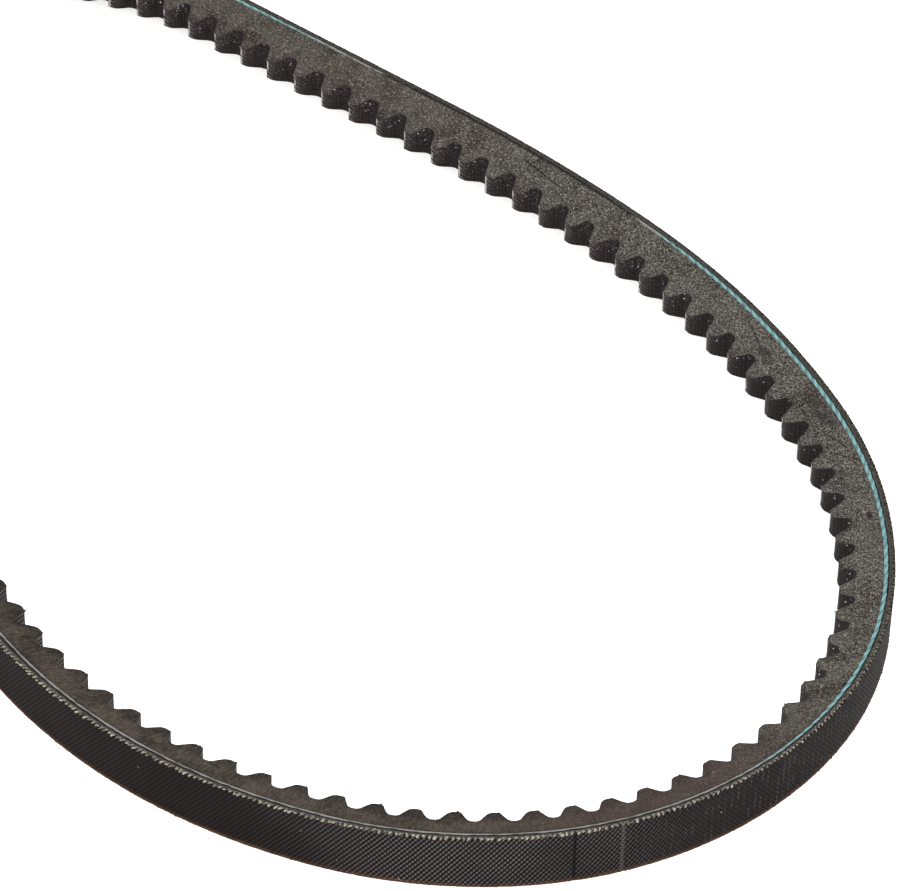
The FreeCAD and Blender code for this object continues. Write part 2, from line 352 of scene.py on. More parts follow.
def flankRubber(name, tone=1.0, fibres=1.0, cordLine=0.0):
    f = flankFinish
    s = Shader(name)
    along, depth, height = s.beltPlace()
    place = s.objectPlace()
    greyer = along.ease(f["greyFrom"], f["greyTo"]) * (1 - along.ease(f["brownFrom"], f["brownTo"]) * 0.45)
    clouds = s.noise(place, 210.0, 4.0, 0.6)
    grain = s.noise(place, f["grainPerMetre"], 2.0, 0.75)
    coarse = s.noise(place, f["grainPerMetre"] * 0.45, 2.0, 0.7)
    lines = s.noise(s.vector(along * 0.55, depth * 5.0, height), 1.0, 3.0, 0.6)
    streaks = s.noise(s.vector(along * 2.6, depth * 0.5, height), 1.0, 3.0, 0.65)
    tipward = depth.ease(4.2, 7.6) * (1 - greyer) * 0.45
    mottle = clouds.ease(0.36, 0.64) * 0.6 + streaks.ease(0.36, 0.66) * 0.55 - tipward
    ground = s.mix(mottle, f["brown"], f["brownLit"])
    ground = s.mix(tipward * coarse.ease(0.3, 0.6), ground, f["dark"])
    ground = s.mix(greyer * clouds.ease(0.20, 0.62), ground, f["grey"])
    reddish = along.ease(200.0, 214.0) * (1 - along.ease(238.0, 262.0)) * 0.5
    reddish = reddish + clouds.ease(0.60, 0.75) * greyer * 0.5
    ground = s.mix(reddish, ground, f["red"])
    pits = (1 - grain.ease(0.38, 0.54)) * (0.30 + greyer * 0.70)
    ground = s.mix(pits * 0.9, ground, f["dark"])
    specks = grain.ease(0.52, 0.66) * coarse.ease(0.36, 0.56) * (0.20 + greyer * 0.80) * fibres
    colour = s.mix(specks * 0.80 * tone, ground, f["fibre"])
    worn = lines.ease(0.50, 0.72) * 0.25 + streaks.ease(0.55, 0.8) * 0.22
    colour = s.mix(worn * (1.1 - greyer), colour, f["grey"])
    marks = 0.0
    for place0, depth0, long0, wide0, strength in f["spots"]:
        across = ((along - place0) / long0) ** 2.0 + ((depth - depth0) / wide0) ** 2.0
        marks = marks + (1 - (across + clouds * 0.9).ease(0.55, 1.4)) * strength
    for place0, depth0, slope0, long0 in f["scratches"]:
        off = abs(depth - depth0 - (along - place0) * slope0 + (lines - 0.5) * 0.5)
        marks = marks + (1 - off.ease(0.04, 0.16)) * (1 - abs(along - place0).ease(long0 * 0.6, long0)) * 0.95
    colour = s.mix(marks.atMost(0.85), colour, f["dark"])
    if cordLine:
        beside = 1 - depth.ease(cordLine, cordLine + 0.28)
        colour = s.mix(beside * 0.75, colour, f["dark"])
    bump = grain * 0.6 + specks * 0.5 + lines * 0.3 - marks * 0.4
    return s.finish(colour, 0.62 + grain * 0.25, bump, 0.05, Specular_IOR_Level=dullShine)


# bias weave: crowns on a lattice of along and across steps, long in one slanting direction:
# height = |cos q|^1.5 * |cos p|^0.45 with p and q the two slanting phases
weaveFinish = {
    "alongStep": 0.78, "acrossStep": 0.98, "threadStep": 1.1, "tickStep": 0.55,
    "valley": (0.0050, 0.0036, 0.0036), "crown": (0.120, 0.103, 0.103), "bare": (0.0135, 0.0095, 0.0095),
    "dust": (0.42, 0.40, 0.38), "rim": (0.110, 0.050, 0.020), "seam": (0.0035, 0.003, 0.003),
}


def backWeave(name):
    w = weaveFinish
    s = Shader(name)
    along, _, height = s.beltPlace()
    place = s.objectPlace()
    wander = (s.noise(place, 130.0, 2.0) - 0.5) * 0.55
    p = (along * (1 / w["alongStep"]) + height * (1 / w["acrossStep"]) + wander) * pi
    q = (along * (1 / w["alongStep"]) - height * (1 / w["acrossStep"]) + wander * 0.6) * pi
    crowns = abs(q.cosine()) ** 1.5 * abs(p.cosine()) ** 0.45
    filaments = (p * 3.0 - q * 0.5).sine() * 0.5 + 0.5
    worn = s.noise(place, 60.0, 3.0, 0.6).ease(0.32, 0.64)
    # the weave's crowns are painted paler, partly as their own tone and partly as painted highlight; the
    # highlight is painted only along the stretch of the back that faces the light, and off it the weave is
    # painted flat and dark
    litStretch = along.ease(158.0, 198.0) * (1 - along.ease(206.0, 214.0) * 0.35)
    litStretch = litStretch * (1 - along.ease(219.5, 232.0) * 0.80) * 0.94 + 0.06
    grain = s.noise(place, 3800.0, 2.0, 0.7)
    lit = crowns.ease(0.30, 1.0) * litStretch * (0.45 + worn * 0.55) * (0.55 + grain * 0.9)
    filled = crowns.ease(0.0, 0.6) * (0.07 + litStretch * 0.93) + (1 - litStretch) * (0.25 + worn * 0.5)
    cloth = s.mix(filled, w["valley"], w["bare"])
    colour = s.mix(lit, cloth, w["crown"])
    threads = (along * (2 * pi / w["threadStep"]) + wander * 6.0).sine().ease(0.5, 1.0)
    threads = threads * s.noise(place, 500.0).ease(0.45, 0.62)
    dots = (height * (2 * pi / 0.9) + (along * (2 * pi / 2.2)).sine()).sine().ease(0.3, 0.9)
    colour = s.mix(threads * along.ease(213.0, 236.0) * (0.12 + dots * 0.38), colour, w["crown"])
    overLap = (1 - abs(along - outerPly["seamAt"]).ease(0.12, 0.36)) * 0.85
    colour = s.mix(overLap, colour, w["seam"])
    ticks = (height * (2 * pi / w["tickStep"]) + along * 4.0).sine().ease(-0.2, 0.7)
    underLap = (1 - abs(along - outerPly["lapTo"]).ease(0.10, 0.45)) * (0.35 + ticks * 0.65)
    colour = s.mix(underLap * 0.55, colour, w["crown"])
    rim = (1 - height.ease(0.10, 0.95)) * (0.5 + 0.5 * s.noise(place, 600.0).ease(0.4, 0.6))
    colour = s.mix(rim * 0.8, colour, w["rim"])
    specks = s.cellDots(place, 620.0, (0.03, 0.10), (0.90, 0.93))
    colour = s.mix(specks, colour, w["dust"])
    bump = (crowns * 0.75 + filaments * crowns * 0.18) * (0.08 + litStretch * 0.92) + grain * 0.2 + worn * 0.15
    dull = 0.56 + (1 - crowns) * 0.2 + grain * 0.15
    return s.finish(colour, dull, bump, 0.12, Specular_IOR_Level=dullShine)


# cut ply edge: dark rubber with the paler sections of the yarns in it
plyEdgeFinish = {
    "rubber": (0.038, 0.035, 0.030), "yarn": (0.26, 0.23, 0.18), "grain": (0.13, 0.12, 0.10), "yarnStep": 0.8,
}


def plyEdge(name):
    e = plyEdgeFinish
    s = Shader(name)
    along = s.beltPlace()[0]
    place = s.objectPlace()
    yarns = (along * (pi / e["yarnStep"]) + s.noise(place, 400.0) * 2.0).sine() * 0.5 + 0.5
    grain = s.noise(place, 3400.0, 2.0, 0.7)
    pale = yarns.ease(0.4, 0.95) * (along.ease(95.0, 120.0) * (1 - along.ease(235.0, 300.0) * 0.85))
    colour = s.mix(pale * (0.3 + grain * 0.6), e["rubber"], e["yarn"])
    colour = s.mix(grain.ease(0.50, 0.72) * 0.5, colour, e["grain"])
    return s.finish(colour, 0.7 + grain * 0.2, yarns * 0.5 + grain * 0.5, 0.06, Specular_IOR_Level=dullShine)


# cushion and adhesion rubber: greyer bands each side of the cord, grainy where the flank is
bandGrain = (0.26, 0.24, 0.20)


def bandRubber(name, first, second):
    s = Shader(name)
    along, depth, height = s.beltPlace()
    place = s.objectPlace()
    lines = s.noise(s.vector(along * 0.5, depth * 9.0, height), 1.0, 3.0, 0.6)
    grain = s.noise(place, 3600.0, 2.0, 0.75)
    greyer = along.ease(flankFinish["greyFrom"], flankFinish["greyTo"])
    colour = s.mix(lines.ease(0.35, 0.7), first, second)
    colour = s.mix((1 - grain.ease(0.34, 0.52)) * (0.3 + greyer * 0.5), colour, flankFinish["dark"])
    colour = s.mix(grain.ease(0.56, 0.72) * (0.12 + greyer * 0.30), colour, bandGrain)
    return s.finish(colour, 0.6 + grain * 0.3, lines * 0.5 + grain * 0.5, 0.04, Specular_IOR_Level=dullShine)


# dipped cord: two strands told apart by the twist, kept in the third belt coordinate
cordFinish = {
    "deep": (0.055, 0.165, 0.178), "bright": (0.185, 0.400, 0.410), "pale": (0.48, 0.58, 0.56),
    "worn": (0.27, 0.26, 0.25), "soil": (0.05, 0.06, 0.06),
}


def dippedCord(name):
    s = Shader(name)
    along, show, twist = s.beltPlace()
    place = s.objectPlace()
    strand = (twist * 2.0).sine() * 0.5 + 0.5
    hairs = s.noise(s.vector(along * 2.4 + twist * 0.8, twist * 4.0), 1.0, 3.0, 0.65)
    colour = s.mix(strand.ease(0.05, 0.75) * 0.8 + hairs * 0.2, cordFinish["deep"], cordFinish["bright"])
    colour = s.mix(hairs.ease(0.48, 0.66) * 0.75, colour, cordFinish["pale"])
    bare = 1 - show.ease(0.17, 0.42)
    colour = s.mix(bare, colour, cordFinish["worn"])
    soil = s.noise(place, 420.0, 3.0, 0.6).ease(0.50, 0.68)
    colour = s.mix(soil * (0.35 + bare * 0.35), colour, cordFinish["soil"])
    bump = strand * 0.7 + hairs * 0.4
    return s.finish(colour, 0.55 + hairs * 0.2, bump, 0.05, Specular_IOR_Level=dullShine)


# cog facing: dark rubbed fabric, ridges along the belt where the mould's edge pressed the weave
# with a painted highlight along each cog's sharp corner and painted glints near the notch tops
facingFinish = {
    "dark": (0.0120, 0.0085, 0.0085), "rub": (0.060, 0.047, 0.046), "ridge": (0.340, 0.300, 0.290),
    "edge": (0.52, 0.48, 0.46), "glint": (0.85, 0.84, 0.83), "ridgeStep": 0.85, "hatchStep": 0.62,
}


def cogFacing(name):
    f = facingFinish
    s = Shader(name)
    along, depth, height = s.beltPlace()
    place = s.objectPlace()
    patches = s.noise(place, 300.0, 3.0, 0.6)
    grain = s.noise(place, 3000.0, 2.0, 0.7)
    coarse = s.noise(place, 2700.0, 3.0, 0.75)
    side = s.node("ShaderNodeAttribute", {"attribute_name": "cogSide"}, output=2)
    ridges = ((height - side * 0.35 + patches * 0.5) * (2 * pi / f["ridgeStep"])).sine().ease(0.30, 0.95)
    corner = side.ease(0.34, 0.60) * (1 - side.ease(0.68, 0.92)) * depth.ease(7.0, 7.8)
    rising, falling = ((along + height * way) * (2 * pi / f["hatchStep"]) for way in (1.1, -1.1))
    hatch = rising.sine() * falling.sine()
    where = side.ease(-0.7, 0.6) * depth.ease(5.6, 6.9) * (0.40 + patches.ease(0.40, 0.60) * 0.60)
    colour = s.mix(hatch.ease(0.0, 0.8) * 0.35 + grain * 0.3, f["dark"], f["rub"])
    colour = s.mix(ridges * where * (0.25 + grain * 0.6), colour, f["ridge"])
    scuffs = coarse.ease(0.50, 0.70) * (1 - side.ease(-0.4, 0.5)) * (0.15 + height.ease(3.0, 6.5) * 0.85)
    colour = s.mix(scuffs * (0.10 + along.ease(350.0, 385.0) * 0.28), colour, f["ridge"])
    # painted highlight: a pale, patchy line along the sharp tip corner of each cog
    colour = s.mix(corner * s.noise(place, 700.0).ease(0.36, 0.56) * 0.8, colour, f["edge"])
    # painted glints: small near-white dots near the top of one side of each notch
    spots = s.cellDots(place, 1500.0, (0.12, 0.26), (0.30, 0.40)) * grain.ease(0.44, 0.56)
    nearTop = height.ease(4.0, 5.4) * (1 - side.ease(-1.3, -0.5)) * s.noise(place, 260.0).ease(0.40, 0.50)
    colour = s.mix(spots * nearTop, colour, f["glint"])
    bump = ridges * 0.8 + hatch * 0.3 + grain * 0.25 + scuffs * 0.3
    return s.finish(colour, 0.5 + grain * 0.25, bump, 0.11, Specular_IOR_Level=dullShine)


# cut yarn ends: undyed thread, paler along the near side of the loop
yarnFinish = {
    "nearTone": (0.46, 0.41, 0.33), "farTone": (0.088, 0.080, 0.066), "dirt": (0.060, 0.052, 0.042),
    "lowNearTone": (0.115, 0.055, 0.026), "lowFarTone": (0.05, 0.035, 0.022), "shine": 0.2,
}


def yarnEnds(name, nearTone, farTone):
    s = Shader(name)
    along, which, _ = s.beltPlace()
    place = s.objectPlace()
    grain = s.noise(place, 2500.0, 3.0, 0.7)
    # paler along the near side of the loop, darker elsewhere
    near = along.ease(90.0, 120.0) * (1 - along.ease(225.0, 300.0))
    tint = s.mix(near, farTone, nearTone)
    colour = s.mix((which * 0.75 + grain * 0.4).ease(0.30, 1.0) * 0.8, tint, yarnFinish["dirt"])
    return s.finish(colour, 0.75 + grain * 0.2, grain, 0.05, Specular_IOR_Level=yarnFinish["shine"])


# closed section of one layer as (depth, height) columns: back, upper flank, inside, lower flank
def layerSection(outer, inner, across, down):
    up = np.linspace(lowerFlank(outer), upperFlank(outer), across, endpoint=False)
    back = np.stack([np.full(across, outer), up], -1)
    fall = np.linspace(outer, inner, down, endpoint=False)
    upper = np.stack([fall, upperFlank(fall)], -1)
    downward = np.linspace(upperFlank(inner), lowerFlank(inner), across, endpoint=False)
    inside = np.stack([np.full(across, inner), downward], -1)
    rise = np.linspace(inner, outer, down, endpoint=False)
    lower = np.stack([rise, lowerFlank(rise)], -1)
    return np.vstack([back, upper, inside, lower])


# a layer carried round the loop: point = onLoop(distance, depth) at the section's height
def layerPiece(name, settings, sculpt=None):
    along = np.linspace(0, belt["length"], settings["steps"], endpoint=False)
    section = layerSection(settings["outer"], settings["inner"], settings["across"], settings["down"])
    s = np.repeat(along[:, None], len(section), 1)
    depth = np.repeat(section[None, :, 0], len(along), 0)
    height = np.repeat(section[None, :, 1], len(along), 0)
    place = np.stack([s, depth, height], -1)
    drop = depth * (bandShare(s) - 1)
    depth, height = depth + drop, height - np.sign(height - belt["width"] / 2) * drop * flankSlope
    if sculpt:
        depth, height = sculpt(s, depth, height)
    x, y, _ = onLoop(loopTable, s, depth)
    return gridPiece(name, np.stack([x, y, height + floorHeight], -1), place)


# how deep the cord's middle shows on the upper flank, (distance, depth) listed;
# the bands beside it keep their share of that depth
cordShowsAt = np.array([
    (0, 1.70), (118, 1.82), (215, 1.80), (245, 1.60), (265, 1.50), (284, 1.46), (300, 1.31), (320, 1.25),
    (345, 1.18), (362, 1.06), (400, 0.96), (455, 0.88), (470, 0.95), (560, 1.40), (635, 1.70)])
nominalShow = 1.7


# depth there divided by the nominal depth
def bandShare(along):
    return np.interp(along % belt["length"], *cordShowsAt.T) / nominalShow


outerPly = {"outer": 0.0, "inner": 0.4, "steps": 2540, "across": 16, "down": 2,
            "seamAt": 213.4, "lapTo": 220.4, "seamWidth": 0.35, "seamDepth": 0.10, "lapDepth": 0.04,
            "nibble": 0.07, "nibbleReach": 0.25, "swell": 0.012}
innerPly = {"outer": 0.4, "inner": 0.8, "steps": 1270, "across": 3, "down": 2, "wave": 0.05}
cushion = {"outer": 0.8, "inner": 1.05, "steps": 1270, "across": 3, "down": 2, "wave": 0.06,
           "rubber": (0.052, 0.048, 0.045), "streak": (0.105, 0.098, 0.090)}
gumAbove = {"outer": 1.05, "inner": 1.6, "steps": 1270, "across": 3, "down": 4, "wave": 0.10,
            "rubber": (0.008, 0.0075, 0.007), "streak": (0.034, 0.033, 0.031)}
gumBelow = {"outer": 1.6, "inner": 2.15, "steps": 1270, "across": 3, "down": 4, "wave": 0.05,
            "tone": 0.8, "fibres": 0.8, "darkTo": 1.72}


# back pressed in at the lap's edge and along its far end, edges nibbled by fine waves
def sculptOuterPly(s, depth, height):
    o = outerPly
    groove = o["seamDepth"] * np.exp(-((s - o["seamAt"]) / o["seamWidth"]) ** 2)
    groove += o["lapDepth"] * np.exp(-((s - o["lapTo"]) / (2 * o["seamWidth"])) ** 2)
    onBack = depth < 0.01
    edge = np.clip(np.minimum(height, belt["width"] - height), 0, None)
    waves = softWaves(s, [793, 611, 397, 251, 1009], 3)
    nibble = np.abs(o["nibble"] * waves * np.exp(-edge / o["nibbleReach"]))
    swell = o["swell"] * (1 + softWaves(s, [31, 47, 83], 5))
    depth = depth + np.where(onBack, groove + nibble * 0.8 + swell, 0.0)
    height = height + np.where(height < 1.0, nibble * 0.7, -nibble * 0.7)
    return depth, height


# flanks pulled in a little where the layer is cut, with slow waves
def sculptBand(amount, seed):
    def sculpt(s, depth, height):
        wave = amount * (1 + softWaves(s, [37, 101, 223, 401], seed)) / 2
        middle = belt["width"] / 2
        return depth, height - np.sign(height - middle) * wave * (np.abs(height - middle) > middle - 1.2)
    return sculpt


# the five layers from the back inwards, each with its finish, CAD node and material slot
def layers():
    outer = layerPiece("backing_ply_outer_woven", outerPly, sculptOuterPly)
    inner = layerPiece("backing_ply_inner_edge", innerPly, sculptBand(innerPly["wave"], 11))
    soft = layerPiece("overcord_cushion_band", cushion, sculptBand(cushion["wave"], 12))
    above = layerPiece("adhesion_gum_upper_band", gumAbove, sculptBand(gumAbove["wave"], 13))
    below = layerPiece("adhesion_gum_lower_band", gumBelow, sculptBand(gumBelow["wave"], 14))
    softRubber = bandRubber("cushionRubber", cushion["rubber"], cushion["streak"])
    darkRubber = bandRubber("upperGum", gumAbove["rubber"], gumAbove["streak"])
    grainyRubber = flankRubber("lowerGum", gumBelow["tone"], gumBelow["fibres"], gumBelow["darkTo"])
    wear = [(outer, backWeave("backWeave"), "backing_ply_outer", "backing_fabric"),
            (inner, plyEdge("innerPlyEdge"), "backing_ply_inner", "backing_fabric"),
            (soft, softRubber, "overcord_cushion", "cushion_rubber"),
            (above, darkRubber, "adhesion_gum_upper", "adhesion_gum"),
            (below, grainyRubber, "adhesion_gum_lower", "adhesion_gum")]
    for piece, material, node, slotName in wear:
        piece.data.materials.append(material)
        claim(piece, node)


# a piece is part of the one body and stands for a CAD node, which is hidden
def claim(piece, node):
    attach(piece, "root")
    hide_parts(node)


cogs = {"count": 103, "firstAt": 0.35, "tipHalf": 0.76, "lean": 28.0, "tipRadius": 1.0, "sharpRadius": 0.55,
        "notchDepth": 2.55, "cornerRadius": 0.95, "facing": 0.35, "rubberFrom": 2.15, "seed": 21,
        "skew": 0.22, "shift": 0.10, "uneven": 0.07,
        "burr": 0.42, "burrWidth": 0.8, "roughEdge": 0.035, "swell": 0.05,
        "sharpAngle": 40.0, "edgeTone": 0.7, "edgeFibres": 0.5,
        # rows up the flank, on the cog face and down the flank
        "rubberRows": (9, 4, 5), "facingRows": (2, 9, 2)}


# half profile of a cog: tip flat, round corner, leaning flank, round corner, notch floor.
# A corner of radius r between two lines starts r*tan(half turn) from where they meet
def halfProfile(skin, tipRadius):
    lean = radians(cogs["lean"])
    turn = pi / 2 - lean
    tipDepth = belt["thickness"] - skin
    rootDepth = tipDepth - cogs["notchDepth"]
    tipHalf = cogs["tipHalf"] + skin * tan(lean) - skin / cos(lean)
    baseHalf = tipHalf + (tipDepth - rootDepth) * tan(lean)
    tipRound, rootRound = max(tipRadius - skin, 0.1), cogs["cornerRadius"] + skin
    sweep = np.linspace(0, turn, 7)
    tipX, rootX = tipHalf - tipRound * tan(turn / 2), baseHalf + rootRound * tan(turn / 2)
    tip = np.stack([tipX + tipRound * np.sin(sweep), tipDepth - tipRound * (1 - np.cos(sweep))], -1)
    root = np.stack([rootX - rootRound * np.sin(sweep), rootDepth + rootRound * (1 - np.cos(sweep))], -1)
    root = root[::-1]
    flat = np.stack([np.linspace(0, tipX, 4)[:-1], np.full(3, tipDepth)], -1)
    flank = np.stack([tip[-1] + (root[0] - tip[-1]) * t for t in (1 / 3, 2 / 3)])
    return np.vstack([flat, tip, flank, root])


# whole profile: the side that is met first is round, the far side has a sharp tip corner
def cogProfile(skin):
    early, late = halfProfile(skin, cogs["tipRadius"]), halfProfile(skin, cogs["sharpRadius"])
    return np.vstack([early[:0:-1] * [-1, 1], late])


# distance on the back for a distance on the cord line, which is shorter by depth times turn
def fromCordLine(distance):
    starts = np.append(loopTable[:, 0], belt["length"])
    radius = loopTable[:, 4]
    turns = np.where(radius > 0, np.diff(starts) / np.where(radius > 0, radius, 1), 0.0)
    cordStarts = np.append(0, np.cumsum(np.diff(starts) - turns * belt["cordDepth"]))
    return np.interp(distance, cordStarts, starts), cordStarts[-1]


# toothed outline round the whole loop: base of each cog + ahead*u + inward*d; with g from 0 at the
# notch floor to 1 at the tip, a cog leans by skew*(g^2 - g/2), and shifts and shortens at random
def cogOutline(skin):
    profile = cogProfile(skin)
    cordLength = fromCordLine(0.0)[1]
    steps = np.arange(cogs["count"]) * cordLength / cogs["count"]
    middle = fromCordLine((cogs["firstAt"] + steps) % cordLength)[0]
    x, y, heading = onLoop(loopTable, middle, 0.0)
    ahead = np.stack([np.cos(heading), np.sin(heading)], -1)[:, None]
    inward = np.stack([-np.sin(heading), np.cos(heading)], -1)[:, None]
    random = np.random.default_rng(cogs["seed"])
    root = belt["thickness"] - cogs["notchDepth"] - skin
    grown = np.clip((profile[None, :, 1] - root) / cogs["notchDepth"], 0, 1)
    u = profile[None, :, 0] + cogs["skew"] * (grown ** 2 - 0.5 * grown)
    u = u + random.uniform(-1, 1, (cogs["count"], 1)) * cogs["shift"] * grown
    d = profile[None, :, 1] + (random.uniform(-1.4, 0.6, (cogs["count"], 1)) * cogs["uneven"]) * grown
    points = np.stack([x, y], -1)[:, None] + ahead * u[..., None] + inward * d[..., None]
    along = middle[:, None] + u
    return points.reshape(-1, 2), along.ravel(), d.ravel(), u.ravel()


# flank rows run straight from the layer above to the toothed outline: point = first + (second - first)
# * share; its height lies between the two flanks at that depth
def betweenOutlines(name, first, second, rowCounts, sculpt=None):
    (outerXY, alongA, depthA), (innerXY, alongB, depthB, side) = first, second
    flankRows, faceRows, lowRows = rowCounts
    columns = []
    for t in np.linspace(0, 1, flankRows, endpoint=False):
        columns.append((t, 1.0))
    for h in np.linspace(1, 0, faceRows, endpoint=False):
        columns.append((1.0, h))
    for t in np.linspace(1, 0, lowRows, endpoint=False):
        columns.append((t, 0.0))
    for h in np.linspace(0, 1, 2, endpoint=False):
        columns.append((0.0, h))
    share, lift = np.array(columns).T
    depth = depthA[:, None] + (depthB - depthA)[:, None] * share
    along = alongA[:, None] + (alongB - alongA)[:, None] * share
    xy = outerXY[:, None] + (innerXY - outerXY)[:, None] * share[None, :, None]
    height = lowerFlank(depth) + (upperFlank(depth) - lowerFlank(depth)) * lift
    points = np.concatenate([xy, height[..., None]], -1)
    if sculpt is not None:
        points = sculpt(points, along, share, lift)
    points[..., 2] += floorHeight
    side = np.repeat(side[:, None], len(share), 1)
    return gridPiece(name, points, np.stack([along, depth, height], -1), cogs["sharpAngle"], side)


# burrs: at a few cog corners the edge of the facing stands up and out as a small nib
def sculptFacing(points, along, share, lift):
    random = np.random.default_rng(cogs["seed"])
    rows = len(points)
    perCog = rows // cogs["count"]
    tooth = np.arange(rows) // perCog
    spot = np.arange(rows) % perCog
    high = random.uniform(0, 1, cogs["count"]) ** 1.4 * cogs["burr"]
    where = random.integers(perCog // 2 + 1, perCog // 2 + 8, cogs["count"])
    nib = high[tooth] * np.exp(-((spot - where[tooth]) / cogs["burrWidth"]) ** 2)
    edge = np.where((share > 0.99) & (lift > 0.999), 1.0, 0.0)
    rough = np.abs(cogs["roughEdge"] * random.standard_normal(rows))
    heading = onLoop(loopTable, along % belt["length"], 0.0)[2]
    out = (nib + rough * 0.6)[:, None] * edge[None]
    low = np.where((share > 0.99) & (lift < 0.001), 1.0, 0.0)[None] * rough[:, None]
    swell = cogs["swell"] * softWaves(along, [103, 206, 317], 31) * (share > 0.99) * np.sin(pi * lift)
    for push in (out, low, swell):
        points[..., 0] += -np.sin(heading) * push
        points[..., 1] += np.cos(heading) * push
    points[..., 2] += out * 0.25
    return points


# rubber between the cord's bed and the cogs' inner outline, then the facing round it; the bed side has
# as many points as the cogs, at even steps of the cord line
def coggedBody():
    rubberXY, rubberAlong, rubberDepth, rubberSide = cogOutline(cogs["facing"])
    cordLength = fromCordLine(0.0)[1]
    perCog = len(rubberAlong) // cogs["count"]
    startAt = cogs["firstAt"] - cordLength / cogs["count"] / 2
    point = np.arange(len(rubberAlong))
    even = (point % perCog + 0.5) / perCog
    topCord = startAt + (point // perCog + even) * cordLength / cogs["count"]
    topAlong = fromCordLine(topCord % cordLength)[0]
    topAlong = np.where(topCord < 0, topAlong - belt["length"], topAlong)
    topDepth = cogs["rubberFrom"] * bandShare(topAlong)
    x, y, _ = onLoop(loopTable, topAlong, topDepth)
    top = (np.stack([x, y], -1), topAlong, topDepth)
    toothed = (rubberXY, rubberAlong, rubberDepth, rubberSide)
    rubber = betweenOutlines("compression_rubber_cogged", top, toothed, cogs["rubberRows"])
    rubber.data.materials.append(flankRubber("flankRubber"))
    claim(rubber, "compression_rubber")
    outside = cogOutline(0.0)
    facing = betweenOutlines("cog_facing_moulded", toothed[:3], outside, cogs["facingRows"], sculptFacing)
    facing.data.materials.append(cogFacing("cogFacing"))
    facing.data.materials.append(flankRubber("facingCutEdge", cogs["edgeTone"], cogs["edgeFibres"]))
    faces = facing.data.polygons
    normals = np.empty(len(faces) * 3, np.float32)
    faces.foreach_get("normal", normals)
    faces.foreach_set("material_index", (np.abs(normals[2::3]) > 0.8).astype(np.int32))
    claim(facing, "cog_facing_fabric")


cord = {"radius": 0.425, "turns": 8, "cover": 0.06, "twist": 4.2, "lobe": 0.06, "sunk": 0.09, "proud": 0.035,
        "topGap": 1.35, "smooth": 25, "cutAround": 14, "cutStep": 0.22, "woundAround": 8, "woundStep": 1.6}

# how wide the cut cord shows on the upper flank, (distance, width) listed
cordShows = [
    (0, 0.12), (118, 0.20), (190, 0.20), (212, 0.10), (232, 0.16), (250, 0.34), (264, 0.58), (300, 0.64),
    (355, 0.62), (377, 0.42), (387, 0.0), (440, 0.0), (452, 0.25), (470, 0.42), (520, 0.50), (600, 0.25),
    (635, 0.10)]


# two-lobed strand: r = radius*(1 - lobe + lobe*cos(2(angle - twist turn))) about its centre line;
# what lies beyond the flank is cut off level with it
def cordTube(name, along, deep, height, around, show):
    angle = np.arange(around) * 2 * pi / around
    turn = 2 * pi * along / cord["twist"]
    lobe = cord["lobe"] * np.clip((show[:, None] - 0.15) / 0.4, 0.08, 1)
    r = cord["radius"] * (1 - lobe + lobe * np.cos(2 * (angle[None] - turn[:, None])))
    depth = deep[:, None] + r * np.cos(angle)[None]
    z = height[:, None] + r * np.sin(angle)[None]
    level = cord["proud"] * (show[:, None] > 0)
    z = np.minimum(z, upperFlank(depth) + level * (0.6 + 0.4 * np.cos(2 * (angle[None] - turn[:, None]))))
    x, y, _ = onLoop(loopTable, np.repeat(along[:, None], around, 1), depth)
    points = np.stack([x, y, z + floorHeight], -1)
    place = np.stack([np.repeat(along[:, None], around, 1), np.repeat(show[:, None], around, 1),
                      angle[None] - turn[:, None]], -1)
    return tubePiece(name, points, place)


# open tube closed by a fan at each end
def tubePiece(name, points, place):
    rows, around = points.shape[:2]
    index = np.arange(rows * around).reshape(rows, around)
    aside = np.roll(index, -1, 1)
    quads = np.stack([index[:-1], index[1:], aside[1:], aside[:-1]], -1).reshape(-1, 4)
    ends = np.array([points[0].mean(0), points[-1].mean(0)])
    flat = np.vstack([points.reshape(-1, 3), ends])
    first, last = rows * around, rows * around + 1
    near, far = index[0], index[-1]
    fans = [(first, a, b) for a, b in zip(near, aside[0])] + [(last, b, a) for a, b in zip(far, aside[-1])]
    caps = [tuple(int(v) for v in f[::-1]) for f in fans]
    mesh = bpy.data.meshes.new(name)
    mesh.from_pydata((flat * mm).tolist(), [], quads[:, ::-1].tolist() + caps)
    values = np.vstack([place.reshape(-1, 3), place[0].mean(0), place[-1].mean(0)])
    attribute = mesh.attributes.new("belt", "FLOAT_VECTOR", "POINT")
    attribute.data.foreach_set("vector", values.astype(np.float32).ravel())
    mesh.polygons.foreach_set("use_smooth", np.ones(len(mesh.polygons), bool))
    piece = bpy.data.objects.new(name, mesh)
    bpy.context.scene.collection.objects.link(piece)
    return piece


